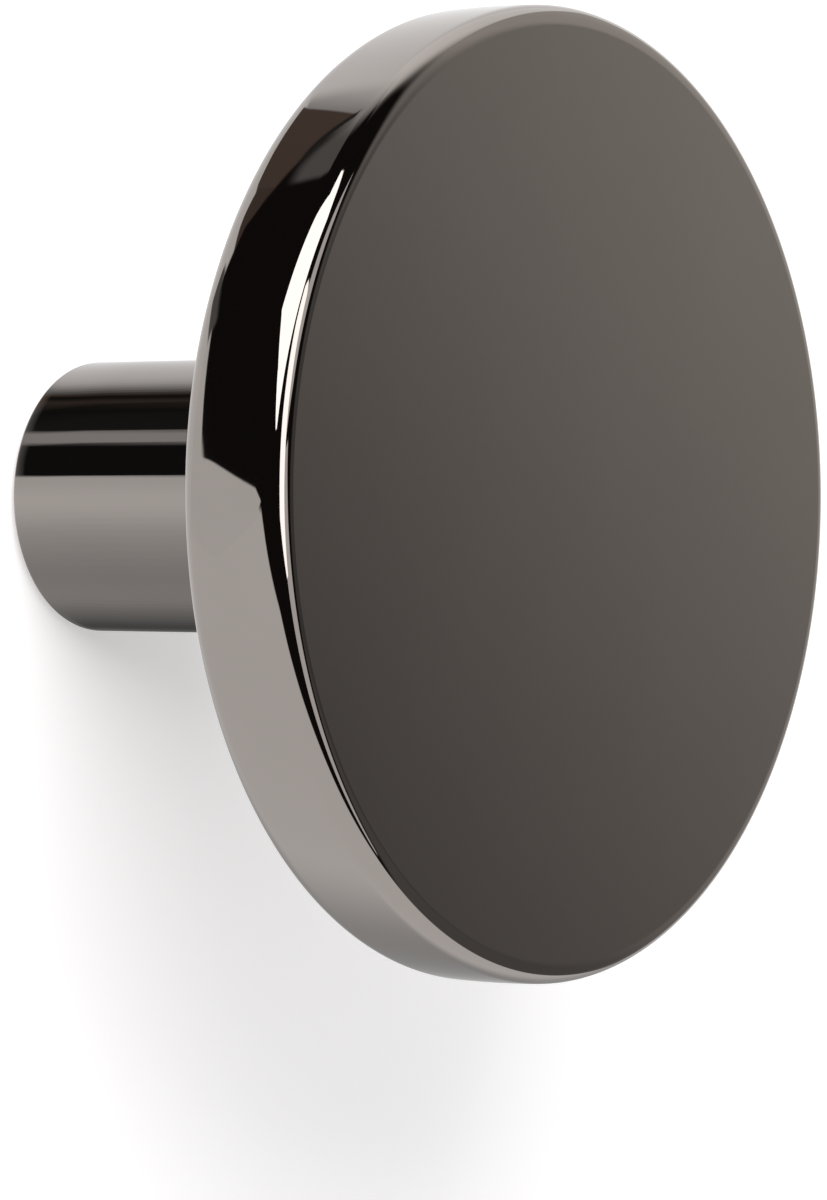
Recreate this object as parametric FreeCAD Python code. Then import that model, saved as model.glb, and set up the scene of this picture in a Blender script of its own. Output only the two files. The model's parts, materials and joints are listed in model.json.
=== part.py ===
# Cabinet knob: a flat round head on a plain straight stem, in one turned piece.
#
# The knob stands out along -Y from the door or drawer front that it is screwed to. The
# origin is the centre of the stem's back face, on the axis of the screw hole, with +Z up.
# All lengths are in millimetres and all angles in degrees.

import FreeCAD, Part
import math
import os

# Head: a flat disc with rounded edges and a slightly crowned rim
head_diameter = 38.0
head_thickness = 4.8
head_front_edge_radius = 0.85
head_rear_edge_radius = 1.0
rim_crown_radius = 40.0

# Stem: a straight round bar from the mounting face to the back of the head
stem_diameter = 11.1
stem_length = 19.0
stem_back_edge_radius = 0.3
neck_fillet_radius = 0.5

# Screw hole: blind, on the stem's axis, tapped for a machine screw
thread_diameter = 4.0
thread_pitch = 0.7
solid_stem_past_hole = 4.2
drill_point_angle = 118.0
countersink_angle = 90.0

# Sizes that follow from the driving dimensions
head_radius = head_diameter / 2
stem_radius = stem_diameter / 2
projection = stem_length + head_thickness
crown_centre_radius = head_radius - rim_crown_radius
crown_depth = stem_length + head_thickness / 2
hole_radius = (thread_diameter - thread_pitch) / 2
hole_mouth_radius = thread_diameter / 2
hole_depth = stem_length - solid_stem_past_hole
hole_tip_depth = hole_depth + hole_radius / math.tan(math.radians(drill_point_angle / 2))
countersink_depth = (hole_mouth_radius - hole_radius) / math.tan(math.radians(countersink_angle / 2))


def point_at(radius, depth):
    """Place a point of the half section in the plane Z = 0, its depth from the wall along -Y."""
    return FreeCAD.Vector(radius, -depth, 0)


def sharp(radius, depth):
    """Return a sharp corner, which is one point."""
    return [point_at(radius, depth)]


def rounded(centre, start, end):
    """Return a rounded corner: the start, the middle and the end of its arc."""
    outward = (start - centre) + (end - centre)
    return [start, centre + outward.normalize() * (start - centre).Length, end]


def edge_centre(rounding, depth):
    """Place the centre of an edge's arc so that the arc touches the crowned rim from inside."""
    reach = rim_crown_radius - rounding
    return point_at(crown_centre_radius + math.sqrt(reach**2 - (depth - crown_depth) ** 2), depth)


def on_crown(centre):
    """Return where the arc about an edge's centre meets the crowned rim."""
    crown_centre = point_at(crown_centre_radius, crown_depth)
    return crown_centre + (centre - crown_centre).normalize() * rim_crown_radius


def stem_corners():
    """List the corners at the two ends of the stem, both rounded."""
    back = point_at(stem_radius - stem_back_edge_radius, stem_back_edge_radius)
    neck = point_at(stem_radius + neck_fillet_radius, stem_length - neck_fillet_radius)
    across_back = FreeCAD.Vector(stem_back_edge_radius, 0, 0)
    along_back = FreeCAD.Vector(0, stem_back_edge_radius, 0)
    across_neck = FreeCAD.Vector(neck_fillet_radius, 0, 0)
    along_neck = FreeCAD.Vector(0, neck_fillet_radius, 0)
    return [
        rounded(back, back + along_back, back + across_back),
        rounded(neck, neck - across_neck, neck - along_neck),
    ]


def rim_corners():
    """List the head's rear edge, crowned rim and front edge, each tangent to the next."""
    rear = edge_centre(head_rear_edge_radius, stem_length + head_rear_edge_radius)
    front = edge_centre(head_front_edge_radius, projection - head_front_edge_radius)
    back_of_head = rear + FreeCAD.Vector(0, head_rear_edge_radius, 0)
    face = front - FreeCAD.Vector(0, head_front_edge_radius, 0)
    return [
        rounded(rear, back_of_head, on_crown(rear)),
        rounded(point_at(crown_centre_radius, crown_depth), on_crown(rear), on_crown(front)),
        rounded(front, on_crown(front), face),
    ]


def section_corners():
    """List the half section's corners, from the hole's tip round the outside to the face."""
    hole = [
        sharp(0, hole_tip_depth),
        sharp(hole_radius, hole_depth),
        sharp(hole_radius, countersink_depth),
        sharp(hole_mouth_radius, 0),
    ]
    return hole + stem_corners() + rim_corners() + [sharp(0, projection)]


def section_wire(corners):
    """Join the corners into a closed wire, with a straight line between those that don't meet."""
    edges = []
    last_point = corners[-1][-1]
    for corner in corners:
        if not corner[0].isEqual(last_point, 1e-6):
            edges.append(Part.LineSegment(last_point, corner[0]).toShape())
        if len(corner) > 1:
            edges.append(Part.Arc(*corner).toShape())
        last_point = corner[-1]
    return Part.Wire(edges)


def make_knob():
    """Turn the half section once round the knob's axis, Y."""
    section = Part.Face(section_wire(section_corners()))
    return section.revolve(FreeCAD.Vector(0, 0, 0), FreeCAD.Vector(0, 1, 0), 360)


os.makedirs("parts", exist_ok=True)
knob = make_knob()
knob.exportStep("parts/knob.step")
print(f"knob: {knob.ShapeType}, valid {knob.isValid()}, volume {knob.Volume:.1f} mm3, box {knob.BoundBox}")
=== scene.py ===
"""Dresses the cabinet knob.

It turns the knob, taps its screw hole and gives it the black nickel finish, with painted shade in
the hole. Then it sets up the wall, a painted reflection of the wall round the stem, the key lamp
and the studio that the polished metal mirrors.
"""

import json
import logging
import math
from dataclasses import dataclass, field
from enum import Enum
from typing import NamedTuple

import bpy
from mathutils import Matrix, Vector


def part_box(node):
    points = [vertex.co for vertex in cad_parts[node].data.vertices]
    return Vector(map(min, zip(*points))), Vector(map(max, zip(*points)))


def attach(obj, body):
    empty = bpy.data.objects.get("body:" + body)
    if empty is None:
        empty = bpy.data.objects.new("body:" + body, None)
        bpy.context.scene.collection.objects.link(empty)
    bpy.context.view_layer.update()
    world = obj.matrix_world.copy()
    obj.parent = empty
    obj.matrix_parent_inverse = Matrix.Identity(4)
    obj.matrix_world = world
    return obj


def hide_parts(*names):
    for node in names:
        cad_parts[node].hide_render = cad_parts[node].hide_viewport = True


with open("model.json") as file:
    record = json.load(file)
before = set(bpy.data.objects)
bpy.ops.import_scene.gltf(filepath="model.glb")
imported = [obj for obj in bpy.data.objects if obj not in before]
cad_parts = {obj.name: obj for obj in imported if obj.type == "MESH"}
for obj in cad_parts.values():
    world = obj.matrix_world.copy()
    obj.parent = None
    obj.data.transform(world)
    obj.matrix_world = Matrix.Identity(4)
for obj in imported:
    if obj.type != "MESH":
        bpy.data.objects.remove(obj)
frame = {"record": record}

MM = 0.001
QUARTER_TURN = math.radians(90)
FULL_TURN = math.radians(360)
PHOTO_WIDTH = 827
PHOTO_HEIGHT = 1200

Socket = bpy.types.NodeSocket
Tone = tuple[float, float, float]
Rgba = tuple[float, float, float, float]

log = logging.getLogger("knob")


class Operation(Enum):
    """What a math node works out."""

    MULTIPLY = "MULTIPLY"
    GREATER_THAN = "GREATER_THAN"


class Nodes:
    """Adds, sets and joins the nodes of one node tree."""

    # Where the colour sockets are among all those of a mix node
    MIX_FACTOR = 0
    MIX_FIRST = 6
    MIX_SECOND = 7
    MIX_RESULT = 2

    def __init__(self, tree: bpy.types.NodeTree) -> None:
        """Keep the tree and clear it."""
        self.tree = tree
        tree.nodes.clear()

    def add(self, kind: str, **settings: str) -> bpy.types.Node:
        """Add a node.

        Args:
            kind: The node's Blender type.
            settings: The node's own properties, such as operation.

        Returns:
            The new node.
        """
        node = self.tree.nodes.new(kind)
        for name, value in settings.items():
            setattr(node, name, value)
        return node

    def feed(self, target: Socket, value: Socket | Rgba | Vector | float) -> None:
        """Give an input its value.

        Args:
            target: The input.
            value: The output that is linked to it, or what is set on the input itself.
        """
        if isinstance(value, Socket):
            self.tree.links.new(value, target)
        else:
            target.default_value = value

    def math(self, operation: Operation, first: Socket | float, second: Socket | float) -> Socket:
        """Add a math node.

        Args:
            operation: What it works out.
            first: A socket or a number.
            second: A socket or a number.

        Returns:
            The node's output.
        """
        node = self.add("ShaderNodeMath", operation=operation.value)
        self.feed(node.inputs[0], first)
        self.feed(node.inputs[1], second)
        return node.outputs[0]

    def mix_colours(self, factor: Socket, first: Socket | Rgba, second: Socket | Rgba) -> Socket:
        """Mix two colours.

        Args:
            factor: 0 for the first colour and 1 for the second.
            first: A socket or a colour.
            second: A socket or a colour.

        Returns:
            The mixed colour.
        """
        node = self.add("ShaderNodeMix", data_type="RGBA")
        self.feed(node.inputs[self.MIX_FACTOR], factor)
        self.feed(node.inputs[self.MIX_FIRST], first)
        self.feed(node.inputs[self.MIX_SECOND], second)
        return node.outputs[self.MIX_RESULT]

    def mix_shaders(self, factor: Socket, first: Socket, second: Socket) -> Socket:
        """Mix two shaders.

        Args:
            factor: 0 for the first shader and 1 for the second.
            first: A shader.
            second: A shader.

        Returns:
            The mixed shader.
        """
        node = self.add("ShaderNodeMixShader")
        self.feed(node.inputs[0], factor)
        self.feed(node.inputs[1], first)
        self.feed(node.inputs[2], second)
        return node.outputs[0]

    def noise(self, place: Socket, scale: float, detail: float) -> Socket:
        """Add a noise pattern.

        Args:
            place: The coordinates that the pattern lies on.
            scale: The pattern's scale, in cells per metre.
            detail: How many finer layers it has.

        Returns:
            The pattern's value, about 0 to 1.
        """
        pattern = self.add("ShaderNodeTexNoise")
        self.feed(pattern.inputs["Scale"], scale)
        self.feed(pattern.inputs["Detail"], detail)
        self.feed(pattern.inputs["Vector"], place)
        return pattern.outputs[0]

    def show(self, shader: Socket) -> None:
        """Show a shader as the material's surface."""
        self.feed(self.add("ShaderNodeOutputMaterial").inputs["Surface"], shader)


def new_material(name: str) -> tuple[bpy.types.Material, Nodes]:
    """Make an empty material.

    Args:
        name: The material's name.

    Returns:
        The material and its nodes.
    """
    material = bpy.data.materials.new(name)
    material.use_nodes = True
    return material, Nodes(material.node_tree)


def colour(red: float, green: float, blue: float, level: float = 1.0) -> Rgba:
    """Return a colour with its brightness applied and an alpha of 1."""
    return (red * level, green * level, blue * level, 1.0)


class Station(NamedTuple):
    """A place on the turned outline: its distance from the axis, and its depth from the wall."""

    radius: float
    depth: float


def arc(centre: Station, radius: float, start: float, end: float, steps: int) -> list[Station]:
    """List the stations along an arc.

    Args:
        centre: The arc's centre.
        radius: The arc's radius.
        start: The first angle in degrees: 0 points away from the axis, and 90 to the front.
        end: The last angle in degrees.
        steps: How many chords the arc has.

    Returns:
        One more station than there are steps.
    """
    stations = []
    for step in range(steps + 1):
        angle = math.radians(start + (end - start) * step / steps)
        across = centre.radius + radius * math.cos(angle)
        stations.append(Station(across, centre.depth + radius * math.sin(angle)))
    return stations


def straight(start: Station, end: Station, steps: int) -> list[Station]:
    """List the stations along a straight stretch.

    Args:
        start: Where the stretch starts.
        end: Where it ends.
        steps: Into how many parts it is cut.

    Returns:
        The stations after the start, as many as there are steps.
    """
    return [
        Station(
            start.radius + (end.radius - start.radius) * step / steps,
            start.depth + (end.depth - start.depth) * step / steps,
        )
        for step in range(1, steps + 1)
    ]


class Domain(Enum):
    """What is selected in edit mode."""

    VERTICES = "VERT"
    EDGES = "EDGE"
    FACES = "FACE"


def deselect_all() -> None:
    """Deselect every object."""
    bpy.ops.object.select_all(action="DESELECT")


def pick(piece: bpy.types.Object) -> None:
    """Select one object alone and make it the active one.

    Args:
        piece: The object.
    """
    deselect_all()
    piece.select_set(True)
    bpy.context.view_layer.objects.active = piece


def enter_edit() -> None:
    """Open the active object in edit mode."""
    bpy.ops.object.mode_set(mode="EDIT")


def leave_edit() -> None:
    """Go back to object mode."""
    bpy.ops.object.mode_set(mode="OBJECT")


def edit(piece: bpy.types.Object, domain: Domain) -> None:
    """Open a piece in edit mode with nothing selected in it.

    Args:
        piece: The mesh object.
        domain: What is selected there.
    """
    pick(piece)
    enter_edit()
    bpy.ops.mesh.select_mode(type=domain.value)
    bpy.ops.mesh.select_all(action="DESELECT")


def face_outwards() -> None:
    """Point all faces of the piece in edit mode outwards."""
    bpy.ops.mesh.select_all(action="SELECT")
    bpy.ops.mesh.normals_make_consistent(inside=False)


def select_ring(piece: bpy.types.Object, station: Station, reach: float = 0.001 * MM) -> None:
    """Select the vertices of one ring, found by their place.

    Args:
        piece: The mesh object, in edit mode with vertices to select.
        station: Where the ring is.
        reach: How near to it a vertex has to be.
    """
    leave_edit()
    for vertex in piece.data.vertices:
        place = vertex.co
        near = abs(math.hypot(place.x, place.z) - station.radius) < reach
        vertex.select = near and abs(-place.y - station.depth) < reach
    enter_edit()


class Lathe:
    """Turns a body about the Y axis by drawing one ring of edges from station to station."""

    def __init__(self, sides: int) -> None:
        """Keep how many sides a full turn has."""
        self.sides = sides

    def turn(
        self,
        name: str,
        stations: list[Station],
        first_tip: Station,
        last_tip: Station,
    ) -> bpy.types.Object:
        """Turn a closed body.

        Args:
            name: The new object's name.
            stations: The outline, from one pole to the other, without the poles.
            first_tip: The pole before the first station.
            last_tip: The pole after the last station.

        Returns:
            The body, closed at both poles and with its faces pointing outwards.
        """
        start = stations[0]
        deselect_all()
        bpy.ops.mesh.primitive_circle_add(
            vertices=self.sides,
            radius=start.radius,
            fill_type="NOTHING",
            location=(0, -start.depth, 0),
            rotation=(QUARTER_TURN, 0, 0),
        )
        body = bpy.context.active_object
        body.name = name
        bpy.ops.object.transform_apply(location=True, rotation=True, scale=True)
        edit(body, Domain.VERTICES)
        bpy.ops.mesh.select_all(action="SELECT")
        before = start
        for station in stations[1:]:
            self.draw_ring(before, station)
            before = station
        self.close_pole(before, last_tip)
        select_ring(body, start)
        self.close_pole(start, first_tip)
        face_outwards()
        leave_edit()
        return body

    @staticmethod
    def draw_ring(before: Station, after: Station) -> None:
        """Extrude the selected ring to its next station.

        Args:
            before: Where the ring is.
            after: Where the new ring goes.
        """
        bpy.ops.mesh.extrude_region_move(
            TRANSFORM_OT_translate={"value": (0, before.depth - after.depth, 0)},
        )
        growth = after.radius / before.radius
        bpy.ops.transform.resize(
            value=(growth, 1, growth),
            center_override=(0, -after.depth, 0),
        )

    @classmethod
    def close_pole(cls, ring: Station, tip: Station) -> None:
        """Extrude the selected ring to a pole's depth and merge it there into one point.

        Args:
            ring: Where the ring is.
            tip: The pole.
        """
        cls.draw_ring(ring, Station(ring.radius, tip.depth))
        bpy.ops.mesh.merge(type="CENTER")


@dataclass(frozen=True)
class Metal:
    """A bare metal whose colour and gloss change a little from place to place."""

    name: str
    pale_tone: Tone
    deep_tone: Tone
    least_roughness: float
    most_roughness: float

    def shade(self, nodes: Nodes, tone: Socket, gloss: Socket) -> bpy.types.Node:
        """Add the metal's shader and show it.

        Args:
            nodes: The material's nodes.
            tone: Where the metal is deep, at 0, and pale, at 1.
            gloss: Where it is least rough, at 0, and most rough, at 1.

        Returns:
            The shader's node.
        """
        metal = nodes.add("ShaderNodeBsdfPrincipled")
        base = nodes.mix_colours(tone, colour(*self.deep_tone), colour(*self.pale_tone))
        roughness = nodes.add("ShaderNodeMapRange")
        nodes.feed(roughness.inputs["Value"], gloss)
        nodes.feed(roughness.inputs["To Min"], self.least_roughness)
        nodes.feed(roughness.inputs["To Max"], self.most_roughness)
        nodes.feed(metal.inputs["Metallic"], 1.0)
        nodes.feed(metal.inputs["Base Color"], base)
        nodes.feed(metal.inputs["Roughness"], roughness.outputs[0])
        nodes.show(metal.outputs[0])
        return metal


@dataclass(frozen=True)
class BlackNickel(Metal):
    """Polished black nickel plating: dark, warm grey and mirror bright, with polishing waves."""

    name: str = "black_nickel"
    pale_tone: Tone = (0.362, 0.329, 0.308)
    deep_tone: Tone = (0.338, 0.307, 0.288)
    least_roughness: float = 0.015
    most_roughness: float = 0.035
    tone_scale: float = 160.0
    tone_detail: float = 3.0
    gloss_scale: float = 420.0
    gloss_detail: float = 4.0
    wave_scale: float = 900.0
    wave_detail: float = 2.0
    wave_height: float = 0.00035 * MM

    def make(self) -> bpy.types.Material:
        """Build the material.

        Returns:
            The material, with its patterns on the piece's Object coordinates.
        """
        material, nodes = new_material(self.name)
        place = nodes.add("ShaderNodeTexCoord").outputs["Object"]
        tone = nodes.noise(place, self.tone_scale, self.tone_detail)
        gloss = nodes.noise(place, self.gloss_scale, self.gloss_detail)
        metal = self.shade(nodes, tone, gloss)
        waves = nodes.add("ShaderNodeBump")
        height = nodes.noise(place, self.wave_scale, self.wave_detail)
        nodes.feed(waves.inputs["Distance"], self.wave_height)
        nodes.feed(waves.inputs["Height"], height)
        nodes.feed(metal.inputs["Normal"], waves.outputs[0])
        return material


@dataclass(frozen=True)
class TappedBorePaintedShade(Metal):
    """The screw hole's tapped wall: the same metal, dull, lightly scored by the tap and darkened
    as painted shade.
    """

    name: str = "tapped_bore_painted_shade"
    # Both tones are darker than the plating outside: painted shade in the hole.
    pale_tone: Tone = (0.30, 0.27, 0.25)
    deep_tone: Tone = (0.12, 0.105, 0.095)
    least_roughness: float = 0.25
    most_roughness: float = 0.45
    score_scale: float = 1500.0
    score_detail: float = 4.0

    def make(self) -> bpy.types.Material:
        """Build the material.

        Returns:
            The material, with its pattern on the piece's Object coordinates.
        """
        material, nodes = new_material(self.name)
        place = nodes.add("ShaderNodeTexCoord").outputs["Object"]
        scores = nodes.noise(place, self.score_scale, self.score_detail)
        self.shade(nodes, scores, scores)
        return material


@dataclass
class Knob:
    """The one-piece knob: a crowned disc head on a round stem with a tapped hole in its back."""

    head_radius: float
    projection: float
    hole_radius: float
    head_thickness: float = 4.8 * MM
    front_edge_radius: float = 0.85 * MM
    rear_edge_radius: float = 1.0 * MM
    rim_crown_radius: float = 40.0 * MM
    stem_radius: float = 5.55 * MM
    stem_back_edge_radius: float = 0.3 * MM
    neck_fillet_radius: float = 0.5 * MM
    thread_radius: float = 2.0 * MM
    thread_pitch: float = 0.7 * MM
    thread_flank_angle: float = 30.0
    thread_run_out: float = 1.6 * MM
    groove_floor_share: float = 0.125
    groove_overlap: float = 0.1 * MM
    groove_clearance: float = 0.02 * MM
    solid_stem_past_hole: float = 4.2 * MM
    drill_point_angle: float = 118.0
    sides: int = 288
    edge_steps: int = 16
    small_edge_steps: int = 8
    crown_steps: int = 12
    hole_steps: int = 4
    stem_steps: int = 6
    back_of_head_steps: int = 4
    helix_steps: int = 48
    sharp_angle: float = 30.0
    shading_weight: int = 50
    body: bpy.types.Object | None = field(default=None, init=False)

    @property
    def stem_length(self) -> float:
        """Return the stem's length, from the wall to the back of the head."""
        return self.projection - self.head_thickness

    @property
    def hole_depth(self) -> float:
        """Return how deep the screw hole's straight wall goes."""
        return self.stem_length - self.solid_stem_past_hole

    def edge_centre(self, crown: Station, depth: float, rounding: float) -> Station:
        """Place the centre of a rounded edge that touches the crown from inside.

        Args:
            crown: The centre of the crown's arc.
            depth: How far the edge's centre is from the wall.
            rounding: The edge's radius.

        Returns:
            The centre of the edge's arc.
        """
        reach = self.rim_crown_radius - rounding
        across = math.sqrt(reach**2 - (depth - crown.depth) ** 2)
        return Station(crown.radius + across, depth)

    @staticmethod
    def tilt(crown: Station, edge: Station) -> float:
        """Return the angle, in degrees, at which an edge's arc leaves the crown."""
        return math.degrees(math.atan2(edge.depth - crown.depth, edge.radius - crown.radius))

    def rim(self) -> list[Station]:
        """List the stations round the head's edge.

        Returns:
            The rear edge, the crown and the front edge, tangent in turn.
        """
        middle = self.stem_length + self.head_thickness / 2
        rear_depth = self.stem_length + self.rear_edge_radius
        front_depth = self.projection - self.front_edge_radius
        crown = Station(self.head_radius - self.rim_crown_radius, middle)
        rear = self.edge_centre(crown, rear_depth, self.rear_edge_radius)
        front = self.edge_centre(crown, front_depth, self.front_edge_radius)
        rear_tilt = self.tilt(crown, rear)
        front_tilt = self.tilt(crown, front)
        stations = arc(rear, self.rear_edge_radius, -90.0, rear_tilt, self.edge_steps)
        stations += arc(crown, self.rim_crown_radius, rear_tilt, front_tilt, self.crown_steps)[1:]
        stations += arc(front, self.front_edge_radius, front_tilt, 90.0, self.edge_steps)[1:]
        return stations

    def outline(self) -> list[Station]:
        """List the whole outline.

        Returns:
            The stations from the bottom of the hole's wall, round the outside, to the face's edge.
        """
        back_edge_radius = self.stem_back_edge_radius
        fillet_radius = self.neck_fillet_radius
        countersink_depth = self.thread_radius - self.hole_radius
        wall_bottom = Station(self.hole_radius, self.hole_depth)
        wall_top = Station(self.hole_radius, countersink_depth)
        mouth = Station(self.thread_radius, 0.0)
        back_edge = Station(self.stem_radius - back_edge_radius, back_edge_radius)
        neck = Station(self.stem_radius + fillet_radius, self.stem_length - fillet_radius)
        neck_arc = arc(neck, fillet_radius, 180.0, 90.0, self.small_edge_steps)
        rim = self.rim()
        stations = [wall_bottom, *straight(wall_bottom, wall_top, self.hole_steps), mouth]
        stations += arc(back_edge, back_edge_radius, -90.0, 0.0, self.small_edge_steps)
        stations += straight(stations[-1], neck_arc[0], self.stem_steps)
        stations += neck_arc[1:]
        stations += straight(stations[-1], rim[0], self.back_of_head_steps)
        return stations + rim[1:]

    def build(self) -> bpy.types.Object:
        """Turn the body, tap its hole and smooth its shading.

        Returns:
            The finished mesh object.
        """
        half_point = math.radians(self.drill_point_angle / 2)
        drill_tip = self.hole_depth + self.hole_radius / math.tan(half_point)
        self.body = Lathe(self.sides).turn(
            "turned_knob",
            self.outline(),
            first_tip=Station(0.0, drill_tip),
            last_tip=Station(0.0, self.projection),
        )
        self.tap()
        pick(self.body)
        bpy.ops.object.shade_smooth_by_angle(angle=math.radians(self.sharp_angle))
        even = self.body.modifiers.new("even_shading", "WEIGHTED_NORMAL")
        even.keep_sharp = True
        even.weight = self.shading_weight
        bpy.ops.object.modifier_apply(modifier=even.name)
        return self.body

    def tap(self) -> None:
        """Cut the screw thread into the hole's wall."""
        groove = self.thread_groove()
        pick(self.body)
        cut = self.body.modifiers.new("thread", "BOOLEAN")
        cut.operation = "DIFFERENCE"
        cut.solver = "EXACT"
        cut.object = groove
        bpy.ops.object.modifier_apply(modifier=cut.name)
        bpy.data.objects.remove(groove, do_unlink=True)

    def thread_groove(self) -> bpy.types.Object:
        """Sweep the thread's groove along its helix.

        Returns:
            A closed helical bar that a Boolean takes away from the body.
        """
        inner = self.hole_radius - self.groove_overlap
        outer = self.thread_radius - self.groove_clearance
        flank = math.tan(math.radians(self.thread_flank_angle))
        floor = self.thread_pitch * self.groove_floor_share / 2
        mouth = floor + (outer - inner) * flank
        deselect_all()
        bpy.ops.mesh.primitive_plane_add(size=1.0, location=(0, 0, 0))
        groove = bpy.context.active_object
        groove.name = "thread_groove"
        for vertex in groove.data.vertices:
            radius, half_width = (outer, floor) if vertex.co.x > 0 else (inner, mouth)
            along = -half_width if vertex.co.y > 0 else half_width
            vertex.co = (radius, self.thread_pitch - along, 0)
        edit(groove, Domain.FACES)
        bpy.ops.mesh.select_all(action="SELECT")
        bpy.ops.mesh.delete(type="ONLY_FACE")
        leave_edit()
        helix = groove.modifiers.new("helix", "SCREW")
        helix.axis = "Y"
        helix.angle = FULL_TURN
        helix.steps = self.helix_steps
        helix.render_steps = self.helix_steps
        helix.screw_offset = -self.thread_pitch
        helix.iterations = int((self.hole_depth - self.thread_run_out) / self.thread_pitch)
        helix.use_normal_calculate = True
        bpy.ops.object.modifier_apply(modifier=helix.name)
        edit(groove, Domain.EDGES)
        bpy.ops.mesh.select_non_manifold()
        bpy.ops.mesh.fill()
        face_outwards()
        leave_edit()
        return groove

    def dress(self) -> None:
        """Give the outside its plating, in slot 0, and the hole its dull wall with painted shade,
        in slot 1.
        """
        mesh = self.body.data
        mesh.materials.clear()
        mesh.materials.append(BlackNickel().make())
        mesh.materials.append(TappedBorePaintedShade().make())
        for face in mesh.polygons:
            place = face.center
            near_axis = math.hypot(place.x, place.z) < self.thread_radius
            face.material_index = int(near_axis and -place.y < self.stem_length)


@dataclass(frozen=True)
class Wall:
    """The plain white wall that the knob stands out from."""

    side: float = 1.6
    gap: float = 0.2 * MM
    tint: Tone = (1.0, 0.982, 0.988)
    whiteness: float = 0.97
    glow: float = 0.30

    def build(self) -> bpy.types.Object:
        """Build the wall.

        Returns:
            The wall, which the metal and clear things don't show.
        """
        deselect_all()
        bpy.ops.mesh.primitive_plane_add(
            size=self.side,
            location=(0, self.gap, 0),
            rotation=(QUARTER_TURN, 0, 0),
        )
        wall = bpy.context.active_object
        wall.name = "wall"
        wall.visible_glossy = False
        wall.visible_transmission = False
        wall.data.materials.append(self.paint())
        return wall

    def paint(self) -> bpy.types.Material:
        """Build the wall's paint.

        Returns:
            A white that is lifted a little to the camera alone, and is clear from behind.
        """
        material, nodes = new_material("wall_white")
        paint = nodes.add("ShaderNodeBsdfDiffuse")
        nodes.feed(paint.inputs["Color"], colour(*self.tint, self.whiteness))
        seen = nodes.add("ShaderNodeLightPath").outputs["Is Camera Ray"]
        glow = nodes.add("ShaderNodeEmission")
        nodes.feed(glow.inputs["Strength"], nodes.math(Operation.MULTIPLY, seen, self.glow))
        white = nodes.add("ShaderNodeAddShader")
        nodes.feed(white.inputs[0], paint.outputs[0])
        nodes.feed(white.inputs[1], glow.outputs[0])
        behind = nodes.add("ShaderNodeNewGeometry").outputs["Backfacing"]
        clear = nodes.add("ShaderNodeBsdfTransparent").outputs[0]
        nodes.show(nodes.mix_shaders(behind, white.outputs[0], clear))
        material.cycles.emission_sampling = "NONE"
        return material


class Tint(Enum):
    """The tint of something that the metal mirrors."""

    NEUTRAL = (1.0, 1.0, 1.0)
    WARM = (1.0, 0.965, 0.92)
    BROWN = (1.0, 0.74, 0.62)
    PALE_BROWN = (1.0, 0.78, 0.66)


class Stop(NamedTuple):
    """A stop of the painted wall reflection: the turn on the stem's side that mirrors it, and its
    painted light.
    """

    turn: float
    level: float
    tint: Tint = Tint.NEUTRAL


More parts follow.
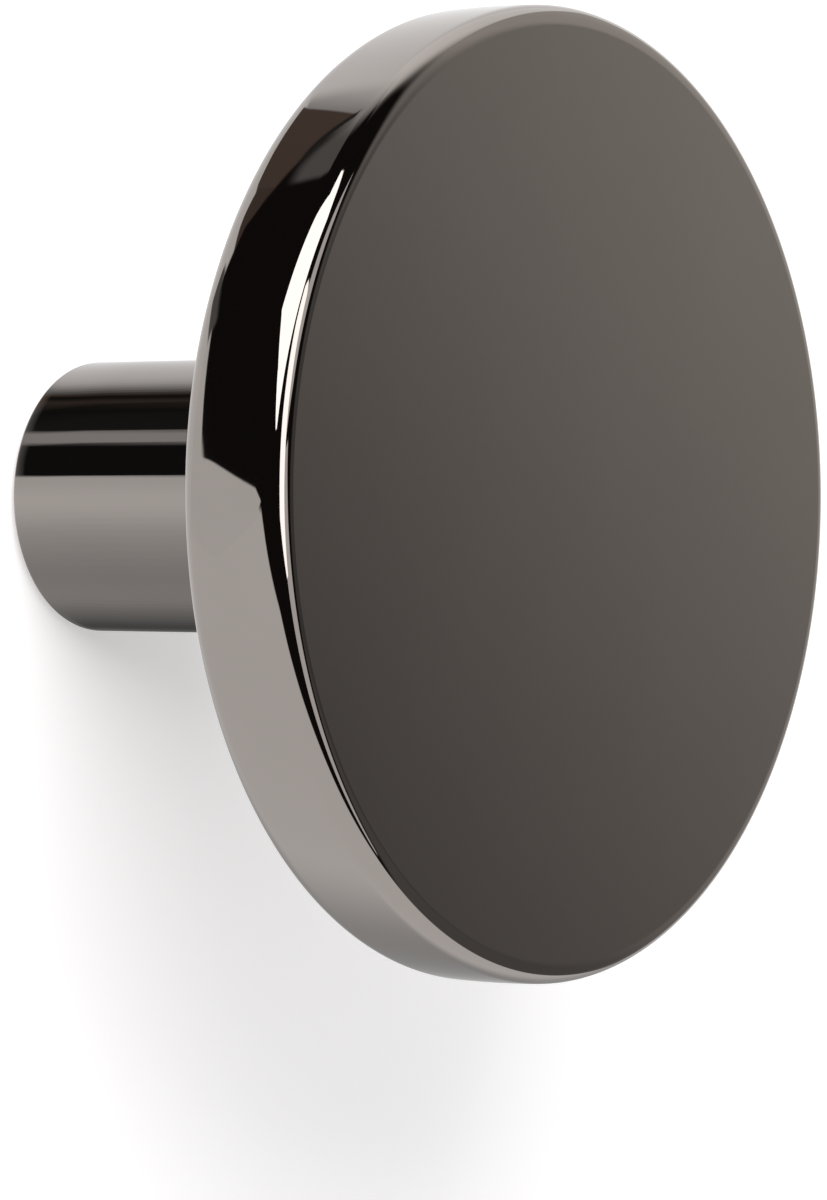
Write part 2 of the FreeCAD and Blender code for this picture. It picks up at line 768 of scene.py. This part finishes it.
@dataclass(frozen=True)
class PaintedWallReflection:
    """Painted reflection for the stem's side: the lit wall round it and its shade under the stem,
    as a glow, and two flags.
    """

    stem_radius: float
    width: float = 20.0 * MM
    foot: float = 0.8 * MM
    # The least glow of the fan's innermost ring: painted light close round the stem.
    foot_level: float = 0.3
    gap: float = 0.1 * MM
    furthest: float = 19.0 * MM

    def stops(self) -> list[Stop]:
        """List the stops from the underside of the stem, over its left side, to its top.

        Returns:
            The stops in order, with eased brightness on both sides of the hard flags.
        """
        # Painted shade of the wall under the stem, easing into the painted lit wall at its left.
        below = [
            Stop(-90, 0.20),
            Stop(-76, 0.09),
            Stop(-62, 0.26),
            Stop(-50, 0.48),
            Stop(-34, 0.51),
            Stop(-17, 0.70),
            Stop(-4, 0.97),
            Stop(7, 0.86),
        ]
        flags = [
            Stop(8.2, 0.012),
            Stop(20.8, 0.012),
            Stop(22.8, 0.50),
            Stop(26.3, 0.50),
            Stop(28.4, 0.02),
            Stop(38, 0.012),
        ]
        # The painted lit wall above, pale brown next to the flags.
        above = [
            Stop(43, 0.06, Tint.PALE_BROWN),
            Stop(47.5, 0.07, Tint.PALE_BROWN),
            Stop(56, 0.78),
            Stop(65, 0.92),
            Stop(90, 0.86),
        ]
        return self.eased(below) + flags + self.eased(above)

    @staticmethod
    def eased(stops: list[Stop], parts: int = 5) -> list[Stop]:
        """Add stops between those given, so that the brightness changes without a kink.

        Args:
            stops: The stops in order.
            parts: Into how many parts each stretch is cut.

        Returns:
            The stops given and the new ones, on a Catmull-Rom curve.
        """
        padded = [stops[0], *stops, stops[-1]]
        curve = []
        for before, start, end, after in zip(padded, padded[1:], padded[2:], padded[3:]):
            slope = end.level - before.level
            bend = 2 * before.level - 5 * start.level + 4 * end.level - after.level
            twist = 3 * (start.level - end.level) + after.level - before.level
            for part in range(parts):
                share = part / parts
                turn = start.turn + (end.turn - start.turn) * share
                rise = slope * share + bend * share**2 + twist * share**3
                level = max(start.level + rise / 2, 0.0)
                curve.append(Stop(turn, level, end.tint if part else start.tint))
        return [*curve, stops[-1]]

    def build(self) -> bpy.types.Object:
        """Build the fan, whose rays leave the stem in the directions that its side mirrors them.

        Returns:
            The fan, a painted reflection that only reflections show.
        """
        stops = self.stops()
        columns = (0.0, self.foot, self.width)
        deselect_all()
        bpy.ops.mesh.primitive_grid_add(
            x_subdivisions=len(columns) - 1,
            y_subdivisions=len(stops) - 1,
            size=1.0,
        )
        fan = bpy.context.active_object
        fan.name = "painted_wall_reflection"
        # The glow holds the painted light and shade of the wall's reflection.
        glow = fan.data.color_attributes.new("glow", "FLOAT_COLOR", "POINT")
        for number, vertex in enumerate(fan.data.vertices):
            stop = stops[number // len(columns)]
            along = columns[number % len(columns)]
            turn = math.radians(stop.turn)
            vertex.co = (
                -self.stem_radius * math.cos(turn) - along * math.cos(2 * turn),
                self.gap,
                self.stem_radius * math.sin(turn) + along * math.sin(2 * turn),
            )
            level = stop.level if along else max(stop.level, self.foot_level)
            glow.data[number].color = colour(*stop.tint.value, level)
        fan.visible_camera = False
        fan.visible_diffuse = False
        fan.visible_shadow = False
        fan.data.materials.append(self.light(glow.name))
        return fan

    def light(self, attribute: str) -> bpy.types.Material:
        """Build the fan's glow, which paints the wall's light and shade.

        Args:
            attribute: The name of the mesh attribute that holds its colours.

        Returns:
            A glow that only a ray from no further than the stem's length meets.
        """
        material, nodes = new_material("painted_wall_reflection_light")
        tint = nodes.add("ShaderNodeAttribute", attribute_name=attribute).outputs["Color"]
        light = nodes.add("ShaderNodeEmission")
        nodes.feed(light.inputs["Color"], tint)
        travelled = nodes.add("ShaderNodeLightPath").outputs["Ray Length"]
        far = nodes.math(Operation.GREATER_THAN, travelled, self.furthest)
        clear = nodes.add("ShaderNodeBsdfTransparent").outputs[0]
        nodes.show(nodes.mix_shaders(far, light.outputs[0], clear))
        material.cycles.emission_sampling = "NONE"
        return material


class Fade(Enum):
    """How softly a card's side fades, as the change of the sine from dark to full."""

    CRISP = 0.008
    SOFT = 0.035
    VAGUE = 0.1
    WIDE = 0.2
    WASH = 0.32
    BROAD = 0.6


class Side(NamedTuple):
    """A side of a card: the direction that points into the card, and how far in it lies."""

    azimuth: float
    elevation: float
    reach: float = 0.0
    fade: Fade = Fade.CRISP


@dataclass(frozen=True)
class Card:
    """A card or softbox of the studio, as the knob sees it: a patch of the surroundings."""

    name: str
    sides: tuple[Side, ...]
    tint: Tint
    level: float


def heading(azimuth: float, elevation: float) -> Vector:
    """Return the unit vector of a direction.

    Args:
        azimuth: The direction's angle in degrees from +X towards +Y.
        elevation: Its angle in degrees above the horizontal.

    Returns:
        The vector.
    """
    around = math.radians(azimuth)
    above = math.radians(elevation)
    level = math.cos(above)
    return Vector((math.cos(around) * level, math.sin(around) * level, math.sin(above)))


def within(*corners: tuple[float, float], fade: Fade = Fade.CRISP) -> tuple[Side, ...]:
    """List the sides of a convex card.

    Args:
        corners: The card's corners in order, each an azimuth and an elevation.
        fade: How softly all its sides fade.

    Returns:
        One side from each corner to the next.
    """
    points = [heading(*corner) for corner in corners]
    centre = sum(points, Vector((0, 0, 0)))
    sides = []
    for number, point in enumerate(points):
        normal = point.cross(points[(number + 1) % len(points)]).normalized()
        if normal.dot(centre) < 0:
            normal.negate()
        azimuth = math.degrees(math.atan2(normal.y, normal.x))
        sides.append(Side(azimuth, math.degrees(math.asin(normal.z)), fade=fade))
    return tuple(sides)


@dataclass(frozen=True)
class Studio:
    """The light: a soft key lamp for the shadow, and the cards that the polished metal shows."""

    key_azimuth: float = 215.0
    key_elevation: float = 42.0
    key_distance: float = 0.9
    key_size: float = 0.9
    key_power: float = 13.8
    ambient: float = 0.475
    dark: Tone = (0.011, 0.009, 0.009)

    def cards(self) -> list[Card]:
        """List the cards, each in front of the ones before it."""
        return self.front_cards() + self.white_cards() + self.softboxes()

    @staticmethod
    def front_cards() -> list[Card]:
        """List the dim surroundings in front, which the face mirrors.

        Returns:
            The shades and washes of light, the grey lens and the ceiling light.
        """
        right_end = Side(315, 0, 0.0, Fade.SOFT)
        front = (Side(28, 0, 0.0, Fade.VAGUE), right_end)
        soft_front = (Side(28, 0, 0.0, Fade.WIDE), right_end)
        return [
            Card("front_shade", front, Tint.WARM, level=0.09),
            Card("lower_shade", (*front, Side(0, -90, 0.12, Fade.VAGUE)), Tint.WARM, level=0.135),
            Card(
                "upper_wash",
                (*soft_front, Side(0, 90, 0.29, Fade.BROAD), Side(0, -90, -0.7, Fade.WIDE)),
                Tint.WARM,
                level=0.335,
            ),
            Card(
                "right_wash",
                (
                    Side(40, 0, 0.0, Fade.WASH),
                    right_end,
                    Side(54.5, 26.6, 0.056, Fade.WASH),
                    Side(0, 90, -0.2, Fade.BROAD),
                ),
                Tint.WARM,
                level=0.60,
            ),
            Card(
                "grey_lens",
                within(
                    (76, 60), (110, 57), (107, 51.5), (100, 52.3), (92, 54.6), (80, 55.8),
                    fade=Fade.SOFT,
                ),
                Tint.NEUTRAL,
                level=0.16,
            ),
            Card(
                "ceiling_light",
                (
                    Side(17.5, 53.9, 0.85, Fade.WIDE),
                    Side(134, 42, 0.0, Fade.SOFT),
                    Side(28, 0, 0.01, Fade.VAGUE),
                ),
                Tint.NEUTRAL,
                level=1.22,
            ),
        ]

    @staticmethod
    def white_cards() -> list[Card]:
        """List the white table and paper below and behind.

        Returns:
            The white cards, with the darker shapes that lie on them.
        """
        side_wall = (Side(60, 0, 0.55, Fade.SOFT), Side(0, 0, 0.27, Fade.VAGUE))
        table = (
            Side(52, -63.4, 0.0, Fade.SOFT),
            Side(81, -51.5, 0.0, Fade.SOFT),
            Side(100, -49.5, 0.0, Fade.SOFT),
            Side(130, -48.0, 0.0, Fade.SOFT),
        )
        paper = (Side(90, -4.8, 0.645), Side(0, 90, -0.1, Fade.SOFT))
        return [
            Card("side_wall", side_wall, Tint.NEUTRAL, level=1.05),
            Card("table", table, Tint.NEUTRAL, level=0.97),
            Card("table_shade", (Side(38, -27, 0.897, Fade.WASH),), Tint.NEUTRAL, level=0.35),
            Card("paper", paper, Tint.NEUTRAL, level=0.94),
            Card("paper_top", (Side(90, 20.8, 0.856),), Tint.NEUTRAL, level=1.0),
            Card(
                "paper_edge",
                within(
                    (134, 10), (140, 5.5), (143.5, 4), (146.5, 2.5),
                    (148.3, 0), (149.5, -2), (140, -12), (130, -5),
                ),
                Tint.NEUTRAL,
                level=0.94,
            ),
            Card(
                "grey_wedge",
                within((99, 24), (128, 25), (130, 30), (119, 37), (106, 33), fade=Fade.SOFT),
                Tint.NEUTRAL,
                level=0.15,
            ),
            Card(
                "brown_card",
                within((70, 46.5), (79, 55.5), (92, 54.3), (106, 50), (110, 46.8), (85, 46)),
                Tint.BROWN,
                level=0.12,
            ),
            Card(
                "brown_tail",
                within((100, 46), (106, 50), (114, 45.5), (120, 39.5), (117, 38.8), (110, 43.5)),
                Tint.BROWN,
                level=0.10,
            ),
            Card(
                "card_gap",
                within((76.5, 56), (80, 55.8), (92, 54.6), (106, 50), (92, 53.6), (79, 54.3)),
                Tint.NEUTRAL,
                level=0.03,
            ),
        ]

    @staticmethod
    def softboxes() -> list[Card]:
        """List the two softboxes.

        Returns:
            The first one in two convex parts, and the second one after its dimmer side.
        """
        return [
            Card(
                "key_box_left",
                within(
                    (138, 39), (140, 34.5), (150, 34), (165, 32.3), (180, 28.5),
                    (190, 24.5), (228, 66), (180, 61), (160, 54.5),
                ),
                Tint.NEUTRAL,
                level=3.2,
            ),
            Card(
                "key_box_right",
                within(
                    (190, 24.5), (207, 14), (211, 11.7), (216, 11.7), (223, 19),
                    (256, 41.5), (253, 51), (243, 61), (228, 66),
                ),
                Tint.NEUTRAL,
                level=3.2,
            ),
            Card(
                "front_box_top",
                within(
                    (262, 5), (262, 26), (267, 29), (275, 32), (285, 33), (286, 24), (277, 10),
                ),
                Tint.NEUTRAL,
                level=0.95,
            ),
            Card(
                "front_box_low",
                within(
                    (262, 5), (277, 5), (283, 0), (289, -12), (295, -31),
                    (291.5, -38), (286, -36), (270, -22), (258, -13),
                ),
                Tint.NEUTRAL,
                level=0.92,
            ),
            Card(
                "front_box",
                within(
                    (241.5, -4), (240.3, 10), (242, 27), (247, 32), (256, 30),
                    (265, 24), (265, -9), (258, -10.5), (250, -8),
                ),
                Tint.NEUTRAL,
                level=3.0,
            ),
        ]

    def build_lamp(self) -> bpy.types.Object:
        """Hang the key lamp.

        Returns:
            The lamp, aimed at the stem's back. The camera and reflections don't show it.
        """
        aim = heading(self.key_azimuth, self.key_elevation)
        light = bpy.data.lights.new("key_lamp", "AREA")
        light.shape = "SQUARE"
        light.size = self.key_size
        light.energy = self.key_power
        lamp = bpy.data.objects.new("key_lamp", light)
        lamp.location = aim * self.key_distance
        lamp.rotation_mode = "QUATERNION"
        lamp.rotation_quaternion = aim.to_track_quat("Z", "Y")
        lamp.visible_glossy = False
        lamp.visible_camera = False
        bpy.context.scene.collection.objects.link(lamp)
        return lamp

    def build_world(self) -> bpy.types.World:
        """Make the world.

        Returns:
            The world: white to the camera, even for soft light, and the cards in reflections.
        """
        world = bpy.data.worlds.new("studio")
        bpy.context.scene.world = world
        world.use_nodes = True
        nodes = Nodes(world.node_tree)
        direction = nodes.add("ShaderNodeTexCoord").outputs["Generated"]
        shown: Socket | Rgba = colour(*self.dark)
        for card in self.cards():
            cover = self.cover(nodes, direction, card)
            shown = nodes.mix_colours(cover, shown, colour(*card.tint.value, card.level))
        mirrored = self.background(nodes, shown)
        even = self.background(nodes, colour(1.0, 1.0, 1.0, self.ambient))
        white = self.background(nodes, colour(1.0, 1.0, 1.0))
        rays = nodes.add("ShaderNodeLightPath").outputs
        lit = nodes.mix_shaders(rays["Is Diffuse Ray"], mirrored, even)
        seen = nodes.mix_shaders(rays["Is Camera Ray"], lit, white)
        nodes.feed(nodes.add("ShaderNodeOutputWorld").inputs["Surface"], seen)
        world.cycles.sampling_method = "NONE"
        return world

    @staticmethod
    def background(nodes: Nodes, light: Socket | Rgba) -> Socket:
        """Add a background.

        Args:
            nodes: The world's nodes.
            light: Its colour.

        Returns:
            The background's shader.
        """
        node = nodes.add("ShaderNodeBackground")
        nodes.feed(node.inputs["Color"], light)
        return node.outputs[0]

    @staticmethod
    def cover(nodes: Nodes, direction: Socket, card: Card) -> Socket:
        """Work out how much of each direction a card covers.

        Args:
            nodes: The world's nodes.
            direction: The direction looked in.
            card: The card.

        Returns:
            A value from 0, clear of the card, to 1, on it.
        """
        covers = []
        for side in card.sides:
            inward = nodes.add("ShaderNodeVectorMath", operation="DOT_PRODUCT")
            nodes.feed(inward.inputs[0], direction)
            nodes.feed(inward.inputs[1], heading(side.azimuth, side.elevation))
            fade = nodes.add("ShaderNodeMapRange", interpolation_type="SMOOTHSTEP")
            nodes.feed(fade.inputs["Value"], inward.outputs["Value"])
            nodes.feed(fade.inputs["From Min"], side.reach - side.fade.value / 2)
            nodes.feed(fade.inputs["From Max"], side.reach + side.fade.value / 2)
            covers.append(fade.outputs[0])
        whole = covers[0]
        for cover in covers[1:]:
            whole = nodes.math(Operation.MULTIPLY, whole, cover)
        return whole


@dataclass(frozen=True)
class PhotoCamera:
    """The camera at the photograph's viewing angle, placed from the centre of the head's face."""

    azimuth: float = -54.351
    elevation: float = 0.2
    roll: float = 0.4776
    focal_pixels: float = 5250.0
    mm_per_pixel: float = 0.03873
    right_offset: float = -6.248 * MM
    up_offset: float = -4.065 * MM
    sensor: float = 36.0
    nearest: float = 0.01
    furthest: float = 10.0

    def build(self, face_depth: float) -> bpy.types.Object:
        """Place the camera.

        Args:
            face_depth: How far the head's face is from the wall.

        Returns:
            The camera, which the scene uses.
        """
        around = math.radians(self.azimuth)
        above = math.radians(self.elevation)
        turn = math.radians(self.roll)
        flat = math.cos(above)
        back = Vector((math.sin(around) * flat, -math.cos(around) * flat, math.sin(above)))
        level = Vector((0, 0, 1)).cross(back).normalized()
        upright = back.cross(level)
        right = math.cos(turn) * level + math.sin(turn) * upright
        up = math.cos(turn) * upright - math.sin(turn) * level
        face_centre = Vector((0, -face_depth, 0))
        distance = self.focal_pixels * self.mm_per_pixel * MM
        aside = right * self.right_offset
        place = face_centre + back * distance + aside + up * self.up_offset
        lens = bpy.data.cameras.new("photo_camera")
        lens.sensor_width = self.sensor
        lens.lens = self.focal_pixels * self.sensor / max(PHOTO_WIDTH, PHOTO_HEIGHT)
        lens.clip_start = self.nearest
        lens.clip_end = self.furthest
        camera = bpy.data.objects.new("photo_camera", lens)
        turned = Matrix((right, up, back)).transposed().to_4x4()
        camera.matrix_world = Matrix.Translation(place) @ turned
        bpy.context.scene.collection.objects.link(camera)
        bpy.context.scene.camera = camera
        return camera


def report(piece: bpy.types.Object) -> None:
    """Log a mesh piece's name and how many faces it has."""
    log.info("%s: %d faces", piece.name, len(piece.data.polygons))


def main() -> None:
    """Build the camera, the knob, the wall, its painted reflection round the stem and the light in
    order.
    """
    logging.basicConfig(level=logging.INFO, format="%(name)s: %(message)s")
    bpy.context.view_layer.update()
    low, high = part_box("knob")
    mounts = {mount["name"]: mount for mount in frame["record"]["mounts"]}
    bpy.context.scene.view_settings.view_transform = "Standard"
    camera = PhotoCamera().build(face_depth=-low.y)
    log.info("%s: %.1f mm lens", camera.name, camera.data.lens)
    knob = Knob(
        head_radius=min(-low.x, high.x, high.z),
        projection=-low.y,
        hole_radius=mounts["screw_hole"]["dims"]["r_mm"] * MM,
    )
    body = knob.build()
    knob.dress()
    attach(body, "root")
    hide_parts("knob")
    report(body)
    for piece in (Wall().build(), PaintedWallReflection(knob.stem_radius).build()):
        report(piece)
    studio = Studio()
    lamp = studio.build_lamp()
    log.info("%s: %.1f W", lamp.name, lamp.data.energy)
    world = studio.build_world()
    log.info("%s: %d cards", world.name, len(studio.cards()))
    deselect_all()


if __name__ == "__main__":
    main()
